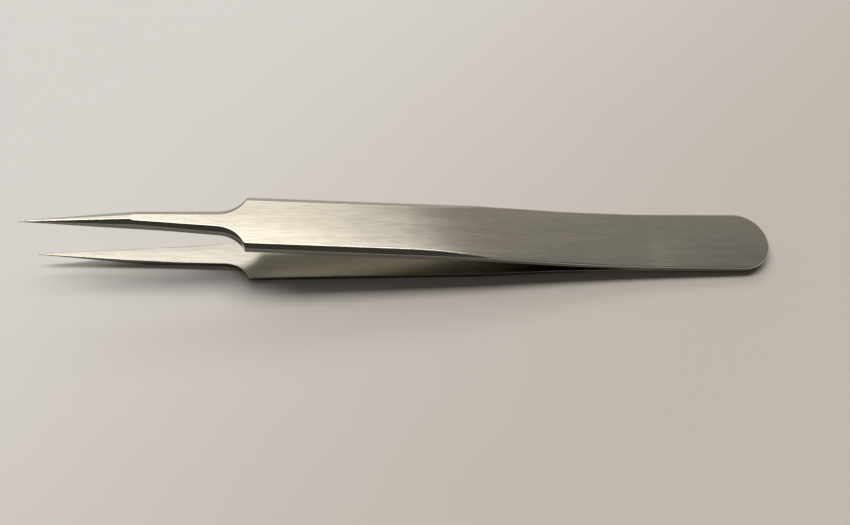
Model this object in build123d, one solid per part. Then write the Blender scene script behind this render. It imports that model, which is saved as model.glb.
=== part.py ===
"""Straight fine-point watchmaker tweezers, lying on one side as they come to rest.

Two spring-steel arms, mirror images of each other, are joined face to face along a pad at the
butt. Each arm leaves the pad at the splay angle, is joggled outwards through a thinned spring
and ends in a straight grip and a ground prong. The lower arm is drawn first, as it lies on the
bench: its outer grip face is the plane z = 0, x runs from the butt to the tip and y across it.
The finished parts have their tips towards -X. All sizes are in millimetres.
"""
import os
from math import acos, atan2, cos, hypot, radians, sin, tan

from build123d import *

# Outline of an arm, seen square to its outer face
overall_length = 110.0
butt_width = 9.6
shoulder_width = 8.3
prong_length = 30.25
shoulder_angle = 60.0
shoulder_radius = 4.2
corner_radius = 0.3
prong_root_width = 3.64
prong_waist_width = 1.72
tip_width = 0.12

# Side profile of an arm
pad_length = 21.0
pad_thickness = 0.75
splay_angle = 3.22
spring_thickness = 0.76
joggle_start = 31.5
joggle_end = 52.5
inner_joggle_start = 33.0
inner_joggle_end = 46.0
bend_radius = 150.0
pad_bend_radius = 60.0
grip_thickness = 1.36
prong_root_thickness = 1.26
prong_bend = 19.5
tip_opening = 9.15
tip_thickness = 0.10

# Ground faces
edge_radius = 0.2
bevel_angle = 30.0
grip_bevel_width = 0.84
shoulder_bevel_width = 0.72
ramp_bevel_width = 0.3
prong_bevel_width = 0.82
grind_bevel_width = 0.58
bevel_shoulder_radius = 4.6
tip_grind_length = 14.6
tip_facet_length = 12.0
tip_facet_relief = 0.04
tip_flat_start_width = 0.54
tip_flat_width = 0.04

# How far the blanks and cutting forms reach past the finished faces
overcut = 0.5


def joint_height(x):
    """Height above the bench, at x, of the plane between the two arms."""
    return (x - rest_x) * tan(splay) + pad_thickness / cos(splay)


splay = radians(splay_angle)
bevel_slope = tan(radians(bevel_angle))
# The rounded edge of the butt touches the bench under its own centre
rest_x = edge_radius * (1 + tan(splay / 2))
joggle = joint_height(pad_length) - spring_thickness
tip_inner_height = joint_height(overall_length) - tip_opening / 2 / cos(splay)
tip_outer_height = tip_inner_height - tip_thickness
shoulder_x = overall_length - prong_length
prong_bend_x = overall_length - prong_bend
grind_x = overall_length - tip_grind_length
waist_x = overall_length - tip_facet_length


def side_profile():
    """Face in the XZ plane between the outer line and the inner line of the lower arm."""
    back_x = -overcut
    butt_bottom = (back_x, (back_x - rest_x) * tan(splay))
    butt_top = (back_x, joint_height(back_x))
    grind_start = (grind_x, 0)
    inner_slope = (tip_inner_height - prong_root_thickness) / prong_bend
    facet_height = prong_root_thickness + (waist_x - prong_bend_x) * inner_slope - tip_facet_relief
    facet_start = (waist_x, facet_height)
    outer = [
        butt_bottom,
        (rest_x + joggle / tan(splay), joggle),
        (joggle_start, joggle),
        (joggle_end, 0),
        grind_start,
    ]
    tip = [
        grind_start,
        (overall_length, tip_outer_height),
        (overall_length, tip_inner_height),
        facet_start,
    ]
    inner = [
        facet_start,
        (prong_bend_x, prong_root_thickness),
        (inner_joggle_end, grip_thickness),
        (inner_joggle_start, joggle + spring_thickness),
        (pad_length, joint_height(pad_length)),
        butt_top,
    ]
    outer_radii = [pad_bend_radius, bend_radius, bend_radius]
    inner_radii = [pad_bend_radius, bend_radius, bend_radius, pad_bend_radius]
    with BuildSketch(Plane.XZ) as profile:
        with BuildLine():
            FilletPolyline(*outer, radius=outer_radii)
            Polyline(*tip)
            FilletPolyline(*inner, radius=inner_radii)
            Line(butt_top, butt_bottom)
        make_face()
    return profile.sketch


def half_width_at(x, near, far):
    """Half width at x of a straight side that runs from the point near to the point far."""
    return near[1] + (x - near[0]) * (far[1] - near[1]) / (far[0] - near[0])


def side_points():
    """Corners of one long side: end of the butt arc, shoulder, prong root, waist and tip."""
    radius = butt_width / 2
    shoulder = (shoulder_x, shoulder_width / 2)
    reach = hypot(shoulder[0] - radius, shoulder[1])
    turn = atan2(shoulder[1], shoulder[0] - radius) + acos(radius / reach)
    tangent = (radius + radius * cos(turn), radius * sin(turn))
    ramp_rise = (shoulder_width - prong_root_width) / 2
    root = (shoulder_x + ramp_rise / tan(radians(shoulder_angle)), prong_root_width / 2)
    waist = (waist_x, prong_waist_width / 2)
    tip = (overall_length, tip_width / 2)
    return tangent, shoulder, root, waist, tip


def across(points):
    """The same points on the other side of the centre line."""
    return [(x, -y) for x, y in points]


def plan_outline():
    """Face in the XY plane: round butt, tapering body, shoulders and slender prong."""
    tangent, shoulder, root, waist, tip = side_points()
    side = [tangent, shoulder, root, waist]
    with BuildSketch() as plan:
        with BuildLine():
            FilletPolyline(*across(side), radius=[corner_radius, shoulder_radius])
            Polyline(*across([waist, tip]), tip, waist)
            FilletPolyline(*reversed(side), radius=[shoulder_radius, corner_radius])
            ThreePointArc(tangent, (0, 0), *across([tangent]))
        make_face()
    return plan.sketch


def arm_blank():
    """Arm with its full side profile and outline, before any edge is rounded or ground."""
    profile = extrude(side_profile(), amount=butt_width, both=True)
    return profile & extrude(plan_outline(), amount=overall_length / 2, both=True)


def round_outer_edge(blank):
    """Blank with its outer edge rounded around the butt and along the spring."""
    middle_of_grip = Plane.YZ.offset((joggle_end + shoulder_x) / 2)
    rear = blank.split(middle_of_grip, keep=Keep.BOTTOM)
    front = blank.split(middle_of_grip, keep=Keep.TOP)
    outer_faces = rear.faces().filter_by(lambda face: face.normal_at().Z < -0.9)
    outer_edges = outer_faces.edges().filter_by(Axis.Y, reverse=True)
    return fillet(outer_edges, edge_radius) + front


def inset(near, far, near_width, far_width):
    """End points of a straight side moved towards the centre line by a width at each end."""
    length = hypot(far[0] - near[0], far[1] - near[1])
    along_x = (far[0] - near[0]) / length
    along_y = (far[1] - near[1]) / length
    return (
        (near[0] + along_y * near_width, near[1] - along_x * near_width),
        (far[0] + along_y * far_width, far[1] - along_x * far_width),
    )


def crossing(first, second):
    """Point where two straight sides, or the lines through them, cross."""
    (ax, ay), (bx, by) = first
    (cx, cy), (dx, dy) = second
    share = ((cx - ax) * (dy - cy) - (cy - ay) * (dx - cx)) / (
        (bx - ax) * (dy - cy) - (by - ay) * (dx - cx)
    )
    return ax + share * (bx - ax), ay + share * (by - ay)


def bevel_form():
    """Steel that the long bevels leave: it narrows towards the outer face at bevel_angle."""
    tangent, shoulder, root, waist, tip = side_points()
    reach = max(grip_bevel_width, shoulder_bevel_width, prong_bevel_width) + overcut
    height = reach * bevel_slope
    rear = (joggle_end, half_width_at(joggle_end, tangent, shoulder))
    front = (grind_x, half_width_at(grind_x, root, waist))
    body = inset(rear, shoulder, grip_bevel_width - reach, shoulder_bevel_width - reach)
    ramp = inset(shoulder, root, ramp_bevel_width - reach, ramp_bevel_width - reach)
    prong = inset(root, front, prong_bevel_width - reach, grind_bevel_width - reach)
    back_x = 0
    front_x = grind_x + reach + overcut
    side = [
        (back_x, half_width_at(back_x, *body)),
        crossing(body, ramp),
        crossing(ramp, prong),
        (front_x, half_width_at(front_x, *prong)),
    ]
    radii = [corner_radius + reach, bevel_shoulder_radius - reach]
    with BuildSketch(Plane.XY.offset(-height)) as outline:
        with BuildLine():
            FilletPolyline(*across(side), radius=radii)
            Line(*across([side[-1]]), side[-1])
            FilletPolyline(*reversed(side), radius=radii[::-1])
            Line(side[0], *across([side[0]]))
        make_face()
    form = extrude(outline.sketch, amount=height + overcut / 2, taper=90 - bevel_angle)
    return mirror(form, about=Plane.XY)


def long_bevels():
    """Steel that the long bevels take off the outer edges, from the spring to the tip grind."""
    slab = Box(
        grind_x - butt_width,
        2 * butt_width,
        grip_thickness,
        align=(Align.MAX, Align.CENTER, Align.MAX),
    )
    depth = max(grip_bevel_width, shoulder_bevel_width, prong_bevel_width) * bevel_slope
    return Pos(grind_x, 0, depth) * slab - bevel_form()


def tip_bevel(sign):
    """Wedge that the tip bevel takes off one side, along the ground outer face."""
    reach = prong_root_width
    travel = Vector(
        tip_grind_length,
        sign * (tip_flat_width - tip_flat_start_width) / 2,
        tip_outer_height,
    )
    corners = [
        (sign * (tip_flat_start_width / 2 - overcut / bevel_slope), -overcut),
        (sign * (tip_flat_start_width / 2 + reach), reach * bevel_slope),
        (sign * (tip_flat_start_width / 2 + reach), -overcut),
    ]
    with BuildSketch(Plane.YZ.offset(grind_x)) as section:
        with BuildLine():
            Polyline(*corners, close=True)
        make_face()
    wedge = extrude(section.sketch, amount=1.5 * travel.length, dir=travel.normalized())
    return wedge.translate(travel * -0.25)


def ground_arm():
    """Finished lower arm: rounded rear edge, long bevels and the bevels of the point."""
    arm = round_outer_edge(arm_blank()) - long_bevels()
    return arm - tip_bevel(1) - tip_bevel(-1)


def main():
    """Write both arms, with the origin under the middle of the pair on the bench."""
    joint_plane = Plane(
        origin=(rest_x, 0, joint_height(rest_x)),
        z_dir=(-sin(splay), 0, cos(splay)),
    )
    lower_arm = ground_arm()
    upper_arm = mirror(lower_arm, about=joint_plane)
    middle = Compound([lower_arm, upper_arm]).bounding_box().center()
    place = Rot(Z=180) * Pos(-middle.X, 0, 0)
    os.makedirs("parts", exist_ok=True)
    export_step(place * lower_arm, "parts/lower_arm.step")
    export_step(place * upper_arm, "parts/upper_arm.step")


if __name__ == "__main__":
    main()
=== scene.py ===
"""Looks of a pair of watchmaker tweezers: satin steel arms lying on pale paper in soft daylight.

Everything is in metres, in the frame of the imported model: the tips point towards -X, the paper
is the plane z = 0 and the viewer stands on the -Y side.
"""
from __future__ import annotations

import logging
import math
from dataclasses import dataclass
from enum import Enum

import bpy
import numpy as np
from mathutils import Matrix, Vector


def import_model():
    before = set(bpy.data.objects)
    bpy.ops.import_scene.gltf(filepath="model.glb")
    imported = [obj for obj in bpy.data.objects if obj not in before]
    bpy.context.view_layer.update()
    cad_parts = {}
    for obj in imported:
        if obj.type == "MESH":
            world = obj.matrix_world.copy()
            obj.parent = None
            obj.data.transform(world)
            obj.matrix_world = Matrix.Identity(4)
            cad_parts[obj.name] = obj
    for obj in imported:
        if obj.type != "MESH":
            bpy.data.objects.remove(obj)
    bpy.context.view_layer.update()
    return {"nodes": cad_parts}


MM = 0.001
LOG = logging.getLogger("tweezers")


class Inside(Enum):
    """Which way the inner face of an arm looks, as the sign of its normal's height."""

    UP = 1.0
    DOWN = -1.0


class Value:
    """A shader socket that can be used in arithmetic."""

    def __init__(self, sheet: NodeSheet, socket: bpy.types.NodeSocket) -> None:
        """Wrap one output socket.

        Args:
            sheet: the node sheet that new Math nodes go to.
            socket: the output socket that holds the value.
        """
        self.sheet = sheet
        self.socket = socket

    def _math(self, operation: str, *values: Value | float) -> Value:
        """Add one Math node.

        Args:
            operation: name of the Math operation.
            values: its inputs in order.

        Returns:
            The node's output.
        """
        inputs = dict(enumerate(values))
        return self.sheet.node("ShaderNodeMath", {"operation": operation}, inputs)

    def __add__(self, other: Value | float) -> Value:
        """Sum."""
        return self._math("ADD", self, other)

    def __radd__(self, other: float) -> Value:
        """Sum with a number on the left."""
        return self._math("ADD", other, self)

    def __sub__(self, other: Value | float) -> Value:
        """Difference."""
        return self._math("SUBTRACT", self, other)

    def __rsub__(self, other: float) -> Value:
        """Difference with a number on the left."""
        return self._math("SUBTRACT", other, self)

    def __mul__(self, other: Value | float) -> Value:
        """Product."""
        return self._math("MULTIPLY", self, other)

    def __rmul__(self, other: float) -> Value:
        """Product with a number on the left."""
        return self._math("MULTIPLY", other, self)

    def __truediv__(self, other: Value | float) -> Value:
        """Quotient."""
        return self._math("DIVIDE", self, other)

    def smooth(self, low: float, high: float) -> Value:
        """A soft step.

        Args:
            low: value at which the step starts.
            high: value at which it ends.

        Returns:
            0 below low, 1 above high and a smooth curve between.
        """
        settings = {"interpolation_type": "SMOOTHSTEP"}
        inputs = {"Value": self, "From Min": low, "From Max": high}
        return self.sheet.node("ShaderNodeMapRange", settings, inputs)


class NodeSheet:
    """The nodes of one material or world."""

    def __init__(self, tree: bpy.types.NodeTree) -> None:
        """Start from an empty tree.

        Args:
            tree: node tree to fill.
        """
        self.tree = tree
        tree.nodes.clear()

    def node(self, kind: str, settings: dict, inputs: dict, output: int | str = 0) -> Value:
        """Add any node.

        Args:
            kind: the node's type.
            settings: attributes to set before its sockets.
            inputs: socket name or number to a value, a colour or a Value.
            output: name or number of the output to return.

        Returns:
            That output, ready for arithmetic.
        """
        made = self.tree.nodes.new(kind)
        for name, setting in settings.items():
            setattr(made, name, setting)
        for name, given in inputs.items():
            if isinstance(given, Value):
                self.tree.links.new(given.socket, made.inputs[name])
            else:
                made.inputs[name].default_value = given
        return Value(self, made.outputs[output]) if len(made.outputs) else Value(self, None)

    def mix(self, factor: Value | float, first: tuple | Value, second: tuple | Value) -> Value:
        """Blend two colours.

        Args:
            factor: share of the second colour.
            first: colour at 0.
            second: colour at 1.

        Returns:
            The blended colour.
        """
        settings = {"data_type": "RGBA"}
        return self.node("ShaderNodeMix", settings, {0: factor, 6: first, 7: second}, 2)


def rgba(red: float, green: float, blue: float) -> tuple[float, float, float, float]:
    """Linear colour from the display values of a picture.

    Args:
        red: display value from 0 to 255.
        green: the same.
        blue: the same.

    Returns:
        Linear red, green, blue and an alpha of 1.
    """
    display = np.array([red, green, blue]) / 255.0
    linear = np.where(display <= 0.04045, display / 12.92, ((display + 0.055) / 1.055) ** 2.4)
    return (*(float(part) for part in linear), 1.0)


@dataclass(frozen=True)
class SatinSteel:
    """Stainless steel, finely ground along its length, with painted shade on the inner faces
    where the arms face each other.

    A face counts as the inner one by how upright its normal is, and as a flank by how level it
    is; the flanks are darker, partly from a duller ground finish and partly as painted shade. The
    pairs of numbers are where each of these soft steps starts and ends.
    """

    name: str
    inside: Inside
    light: tuple[float, float, float] = (197, 193, 183)
    dark: tuple[float, float, float] = (183, 178, 167)
    # inner faces: the steel's tones painted darker as shade between the arms
    shaded_inner_light: tuple[float, float, float] = (172, 170, 162)
    shaded_inner_dark: tuple[float, float, float] = (158, 155, 146)
    # flanks: darker, partly a duller ground finish and partly painted shade
    flank_finish_and_shade: tuple[float, float, float] = (102, 98, 93)
    roughness: float = 0.16
    roughness_swing: float = 0.05
    stretch: tuple[float, float, float] = (0.08, 1.0, 0.08)
    marks_per_metre: float = 5200.0
    marks_share: float = 0.75
    bands_per_metre: float = 900.0
    bands_share: float = 0.25
    tint_step: tuple[float, float] = (0.3, 0.7)
    inner_shade_step: tuple[float, float] = (0.9, 0.97)
    flank_shade_step: tuple[float, float] = (0.1, 0.3)
    mark_depth: float = 0.0012 * MM
    crown_radius: float = 0.9
    edge_round: float = 0.13 * MM
    edge_samples: int = 8

    def build(self) -> bpy.types.Material:
        """Make the material.

        The crown is a height of minus half y squared over its radius, which tilts the normal
        gently towards both edges.

        Returns:
            A material with lengthwise grinding marks on Object coordinates.
        """
        material = bpy.data.materials.new(self.name)
        material.use_nodes = True
        sheet = NodeSheet(material.node_tree)
        place = sheet.node("ShaderNodeTexCoord", {}, {}, "Object")
        stretched = sheet.node(
            "ShaderNodeMapping", {}, {"Vector": place, "Scale": self.stretch}
        )
        marks = sheet.node(
            "ShaderNodeTexNoise",
            {},
            {"Vector": stretched, "Scale": self.marks_per_metre, "Detail": 3.0, "Roughness": 0.6},
        )
        bands = sheet.node(
            "ShaderNodeTexNoise",
            {},
            {"Vector": stretched, "Scale": self.bands_per_metre, "Detail": 2.0},
        )
        tint = (marks * self.marks_share + bands * self.bands_share).smooth(*self.tint_step)
        outer = sheet.mix(tint, rgba(*self.dark), rgba(*self.light))
        # painted shade: the faces that look at the other arm take these darker tones
        inner = sheet.mix(tint, rgba(*self.shaded_inner_dark), rgba(*self.shaded_inner_light))
        normal = sheet.node("ShaderNodeNewGeometry", {}, {}, "Normal")
        upward = sheet.node("ShaderNodeSeparateXYZ", {}, {0: normal}, "Z")
        # mask of the painted shade between the arms, on faces that look towards the other arm
        inner_shade_mask = (upward * self.inside.value).smooth(*self.inner_shade_step)
        flat = (upward * upward).smooth(*self.flank_shade_step)
        # the flanks take the darker colour, partly a duller finish and partly painted shade
        colour = sheet.mix(flat, rgba(*self.flank_finish_and_shade), sheet.mix(inner_shade_mask, outer, inner))
        rough = self.roughness + (bands - 0.5) * self.roughness_swing
        across = sheet.node("ShaderNodeSeparateXYZ", {}, {0: place}, "Y")
        crown = across * across * (-0.5 / self.crown_radius)
        rounded = sheet.node(
            "ShaderNodeBevel", {"samples": self.edge_samples}, {"Radius": self.edge_round}
        )
        crowned = sheet.node(
            "ShaderNodeBump",
            {},
            {"Strength": 1.0, "Distance": 1.0, "Height": crown, "Normal": rounded},
            "Normal",
        )
        bump = sheet.node(
            "ShaderNodeBump",
            {},
            {"Strength": 1.0, "Distance": self.mark_depth, "Height": marks, "Normal": crowned},
            "Normal",
        )
        surface = sheet.node(
            "ShaderNodeBsdfPrincipled",
            {},
            {"Base Color": colour, "Metallic": 1.0, "Roughness": rough, "Normal": bump},
        )
        sheet.node("ShaderNodeOutputMaterial", {}, {"Surface": surface})
        return material


@dataclass(frozen=True)
class PalePaper:
    """Matte off-white paper, painted a little greyer towards the viewer's near right corner as
    light falloff.
    """

    name: str = "pale_paper"
    # the two ends of a ramp of painted light falloff: lit far left, shaded near right
    lit_far_left: tuple[float, float, float] = (246, 244, 243)
    shaded_near_right: tuple[float, float, float] = (222, 216, 210)
    slope_across: float = 6.5
    slope_along: float = -6.5
    start: float = 0.55
    mottle: float = 0.04
    mottle_per_metre: float = 60.0
    roughness: float = 0.5

    def build(self) -> bpy.types.Material:
        """Make the material.

        Returns:
            A diffuse material whose colour follows a slanted ramp of painted light falloff, with
            faint clouds on it.
        """
        material = bpy.data.materials.new(self.name)
        material.use_nodes = True
        sheet = NodeSheet(material.node_tree)
        place = sheet.node("ShaderNodeTexCoord", {}, {}, "Object")
        across = sheet.node("ShaderNodeSeparateXYZ", {}, {0: place}, "X")
        along = sheet.node("ShaderNodeSeparateXYZ", {}, {0: place}, "Y")
        inputs = {"Vector": place, "Scale": self.mottle_per_metre, "Detail": 2.0}
        clouds = sheet.node("ShaderNodeTexNoise", {}, inputs)
        # painted light falloff: the paper greys along this ramp towards the near right, and the
        # clouds are the paper's own mottle
        ramp = self.start + across * self.slope_across + along * self.slope_along
        falloff_and_mottle = (ramp + (clouds - 0.5) * self.mottle).smooth(0.0, 1.0)
        colour = sheet.mix(falloff_and_mottle, rgba(*self.lit_far_left), rgba(*self.shaded_near_right))
        surface = sheet.node(
            "ShaderNodeBsdfDiffuse", {}, {"Color": colour, "Roughness": self.roughness}
        )
        sheet.node("ShaderNodeOutputMaterial", {}, {"Surface": surface})
        return material


@dataclass(frozen=True)
class Bench:
    """The flat paper that the tweezers lie on, seen as far as the picture's edge."""

    half_size: float = 1.5
    drop: float = 0.02 * MM
    cells: int = 8

    def build(self, finish: PalePaper) -> bpy.types.Object:
        """Make the paper as a flat grid just under the steel.

        Args:
            finish: the paper's material.

        Returns:
            The stage object.
        """
        steps = np.linspace(-self.half_size, self.half_size, self.cells + 1)
        across, along = np.meshgrid(steps, steps)
        heights = np.full(across.size, -self.drop)
        points = np.column_stack([across.ravel(), along.ravel(), heights])
        sheet = mesh_from_grid("paper", points, self.cells + 1, self.cells + 1)
        sheet.data.materials.append(finish.build())
        return sheet


def mesh_from_grid(name: str, points: np.ndarray, rows: int, columns: int) -> bpy.types.Object:
    """Make an object from a grid of points.

    Each face joins a point to its neighbour in the row, to the point past that one in the next
    row and to the point under itself there.

    Args:
        name: the object's name.
        points: positions, row after row.
        rows: number of rows.
        columns: number of points in a row.

    Returns:
        The new object, linked to the scene.
    """
    index = np.arange(rows * columns).reshape(rows, columns)
    quads = np.stack([index[:-1, :-1], index[:-1, 1:], index[1:, 1:], index[1:, :-1]], axis=-1)
    mesh = bpy.data.meshes.new(name)
    mesh.from_pydata(points.tolist(), [], quads.reshape(-1, 4).tolist())
    made = bpy.data.objects.new(name, mesh)
    bpy.context.scene.collection.objects.link(made)
    return made


@dataclass(frozen=True)
class Skylight:
    """One glowing pane of a level ceiling, placed by how far off plumb it is seen.

    The edges are slopes: metres along X or Y for each metre of height above the paper.
    """

    name: str
    left: float
    right: float
    front: float
    back: float
    radiance: float
    colour: tuple[float, float, float]
    height: float = 0.9

    def build(self) -> bpy.types.Object:
        """Make the pane, facing straight down.

        Returns:
            The light object.
        """
        lamp = bpy.data.lights.new(self.name, "AREA")
        lamp.shape = "RECTANGLE"
        lamp.size = (self.right - self.left) * self.height
        lamp.size_y = (self.back - self.front) * self.height
        lamp.energy = self.radiance * math.pi * lamp.size * lamp.size_y
        lamp.color = self.colour
        made = bpy.data.objects.new(self.name, lamp)
        across = (self.left + self.right) / 2 * self.height
        along = (self.front + self.back) / 2 * self.height
        made.location = (across, along, self.height)
        bpy.context.scene.collection.objects.link(made)
        return made


@dataclass(frozen=True)
class Daylight:
    """Skylights behind the tweezers in a dim room, with a paler wall below them.

    Each step is a pair of numbers, where a soft change starts and ends. They are cosines to +Y
    for the back of the room, cosines to plumb for the wall's foot and the far walls, and slopes,
    metres sideways for each metre up, for the wall's right, front and back edges.
    """

    overhead: Skylight = Skylight("overhead", -0.85, 0.42, 0.2, 0.47, 7.2, (1.0, 0.97, 0.92))
    beyond: Skylight = Skylight("beyond", -1.0, 0.35, 0.95, 1.6, 2.8, (0.93, 0.96, 1.0))
    room_front: float = 0.06
    room_back: float = 0.53
    room_colour: tuple[float, float, float, float] = (1.0, 0.95, 0.88, 1.0)
    back_step: tuple[float, float] = (0.1, 0.9)
    wall: float = 1.3
    wall_above_step: tuple[float, float] = (0.0, 0.3)
    wall_right_step: tuple[float, float] = (0.05, 0.44)
    wall_front_step: tuple[float, float] = (0.4, 0.52)
    wall_back_step: tuple[float, float] = (0.5, 1.0)
    far_walls: float = 0.5
    far_walls_step: tuple[float, float] = (0.5, 0.78)

    def build(self) -> None:
        """Make the lamps and the room around them.

        The room grows paler towards the back with the cosine to the +Y direction. The wall
        is a patch of the slopes x/z and y/z, faded along both. The pale far walls stand low
        on every side. Only the eye and the steel see them, so the paper keeps its shadow.
        """
        for pane in (self.overhead, self.beyond):
            pane.build()
        world = bpy.data.worlds.new("room")
        world.use_nodes = True
        bpy.context.scene.world = world
        sheet = NodeSheet(world.node_tree)
        way = sheet.node("ShaderNodeTexCoord", {}, {}, "Generated")
        across = sheet.node("ShaderNodeSeparateXYZ", {}, {0: way}, "X")
        along = sheet.node("ShaderNodeSeparateXYZ", {}, {0: way}, "Y")
        height = sheet.node("ShaderNodeSeparateXYZ", {}, {0: way}, "Z")
        back = along.smooth(*self.back_step)
        level = self.room_front + back * (self.room_back - self.room_front)
        edge = 1 - (across / height).smooth(*self.wall_right_step)
        slope = along / height
        rise = slope.smooth(*self.wall_front_step) * (1 - slope.smooth(*self.wall_back_step))
        above = height.smooth(*self.wall_above_step)
        level = level + edge * rise * above * self.wall
        camera_ray = sheet.node("ShaderNodeLightPath", {}, {}, "Is Camera Ray")
        glossy_ray = sheet.node("ShaderNodeLightPath", {}, {}, "Is Glossy Ray")
        low = 1 - height.smooth(*self.far_walls_step)
        level = level + (camera_ray + glossy_ray) * low * (1 - back) * self.far_walls
        surface = sheet.node(
            "ShaderNodeBackground", {}, {"Color": self.room_colour, "Strength": level}
        )
        sheet.node("ShaderNodeOutputWorld", {}, {"Surface": surface})


def direction(azimuth: float, elevation: float) -> Vector:
    """Unit vector from its compass angle and its height.

    Args:
        azimuth: degrees from +Y towards +X.
        elevation: degrees above the paper.

    Returns:
        The unit vector.
    """
    turn = math.radians(azimuth)
    lift = math.radians(elevation)
    level = math.cos(lift)
    return Vector((math.sin(turn) * level, math.cos(turn) * level, math.sin(lift)))


@dataclass(frozen=True)
class Viewpoint:
    """Where the viewer stands, and how wide the lens sees."""

    place: tuple[float, float, float] = (-8.20 * MM, -60.83 * MM, 110.87 * MM)
    azimuth: float = 9.10
    elevation: float = 61.58
    roll: float = 6.71
    lens: float = 35.17
    sensor: float = 36.0
    near: float = 0.005

    def build(self) -> bpy.types.Object:
        """Make the camera.

        Returns:
            The camera object, set as the scene's camera.
        """
        forward = direction(self.azimuth, -self.elevation)
        level = forward.cross(Vector((0.0, 0.0, 1.0))).normalized()
        upright = level.cross(forward)
        tilt = math.radians(self.roll)
        right = level * math.cos(tilt) + upright * math.sin(tilt)
        up = right.cross(forward)
        turn = Matrix((right, up, -forward)).transposed().to_4x4()
        camera = bpy.data.cameras.new("viewer")
        camera.sensor_width = self.sensor
        camera.lens = self.lens
        camera.clip_start = self.near
        made = bpy.data.objects.new("viewer", camera)
        made.matrix_world = Matrix.Translation(self.place) @ turn
        bpy.context.scene.collection.objects.link(made)
        bpy.context.scene.camera = made
        return made


@dataclass(frozen=True)
class Tweezers:
    """The two arms and their finish."""

    lower: SatinSteel = SatinSteel("satin_steel_lower", Inside.UP)
    upper: SatinSteel = SatinSteel("satin_steel_upper", Inside.DOWN)

    def dress(self, nodes: dict) -> None:
        """Give both arms their finish.

        Args:
            nodes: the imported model's objects by name.
        """
        for name, finish in (("lower_arm", self.lower), ("upper_arm", self.upper)):
            nodes[name].data.materials.clear()
            nodes[name].data.materials.append(finish.build())
            LOG.info("dressed %s", name)


def main() -> None:
    """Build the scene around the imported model."""
    logging.basicConfig(level=logging.INFO, format="%(name)s: %(message)s")
    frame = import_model()
    scene = bpy.context.scene
    scene.view_settings.view_transform = "Standard"
    Viewpoint().build()
    Daylight().build()
    Bench().build(PalePaper())
    Tweezers().dress(frame["nodes"])


if __name__ == "__main__":
    main()
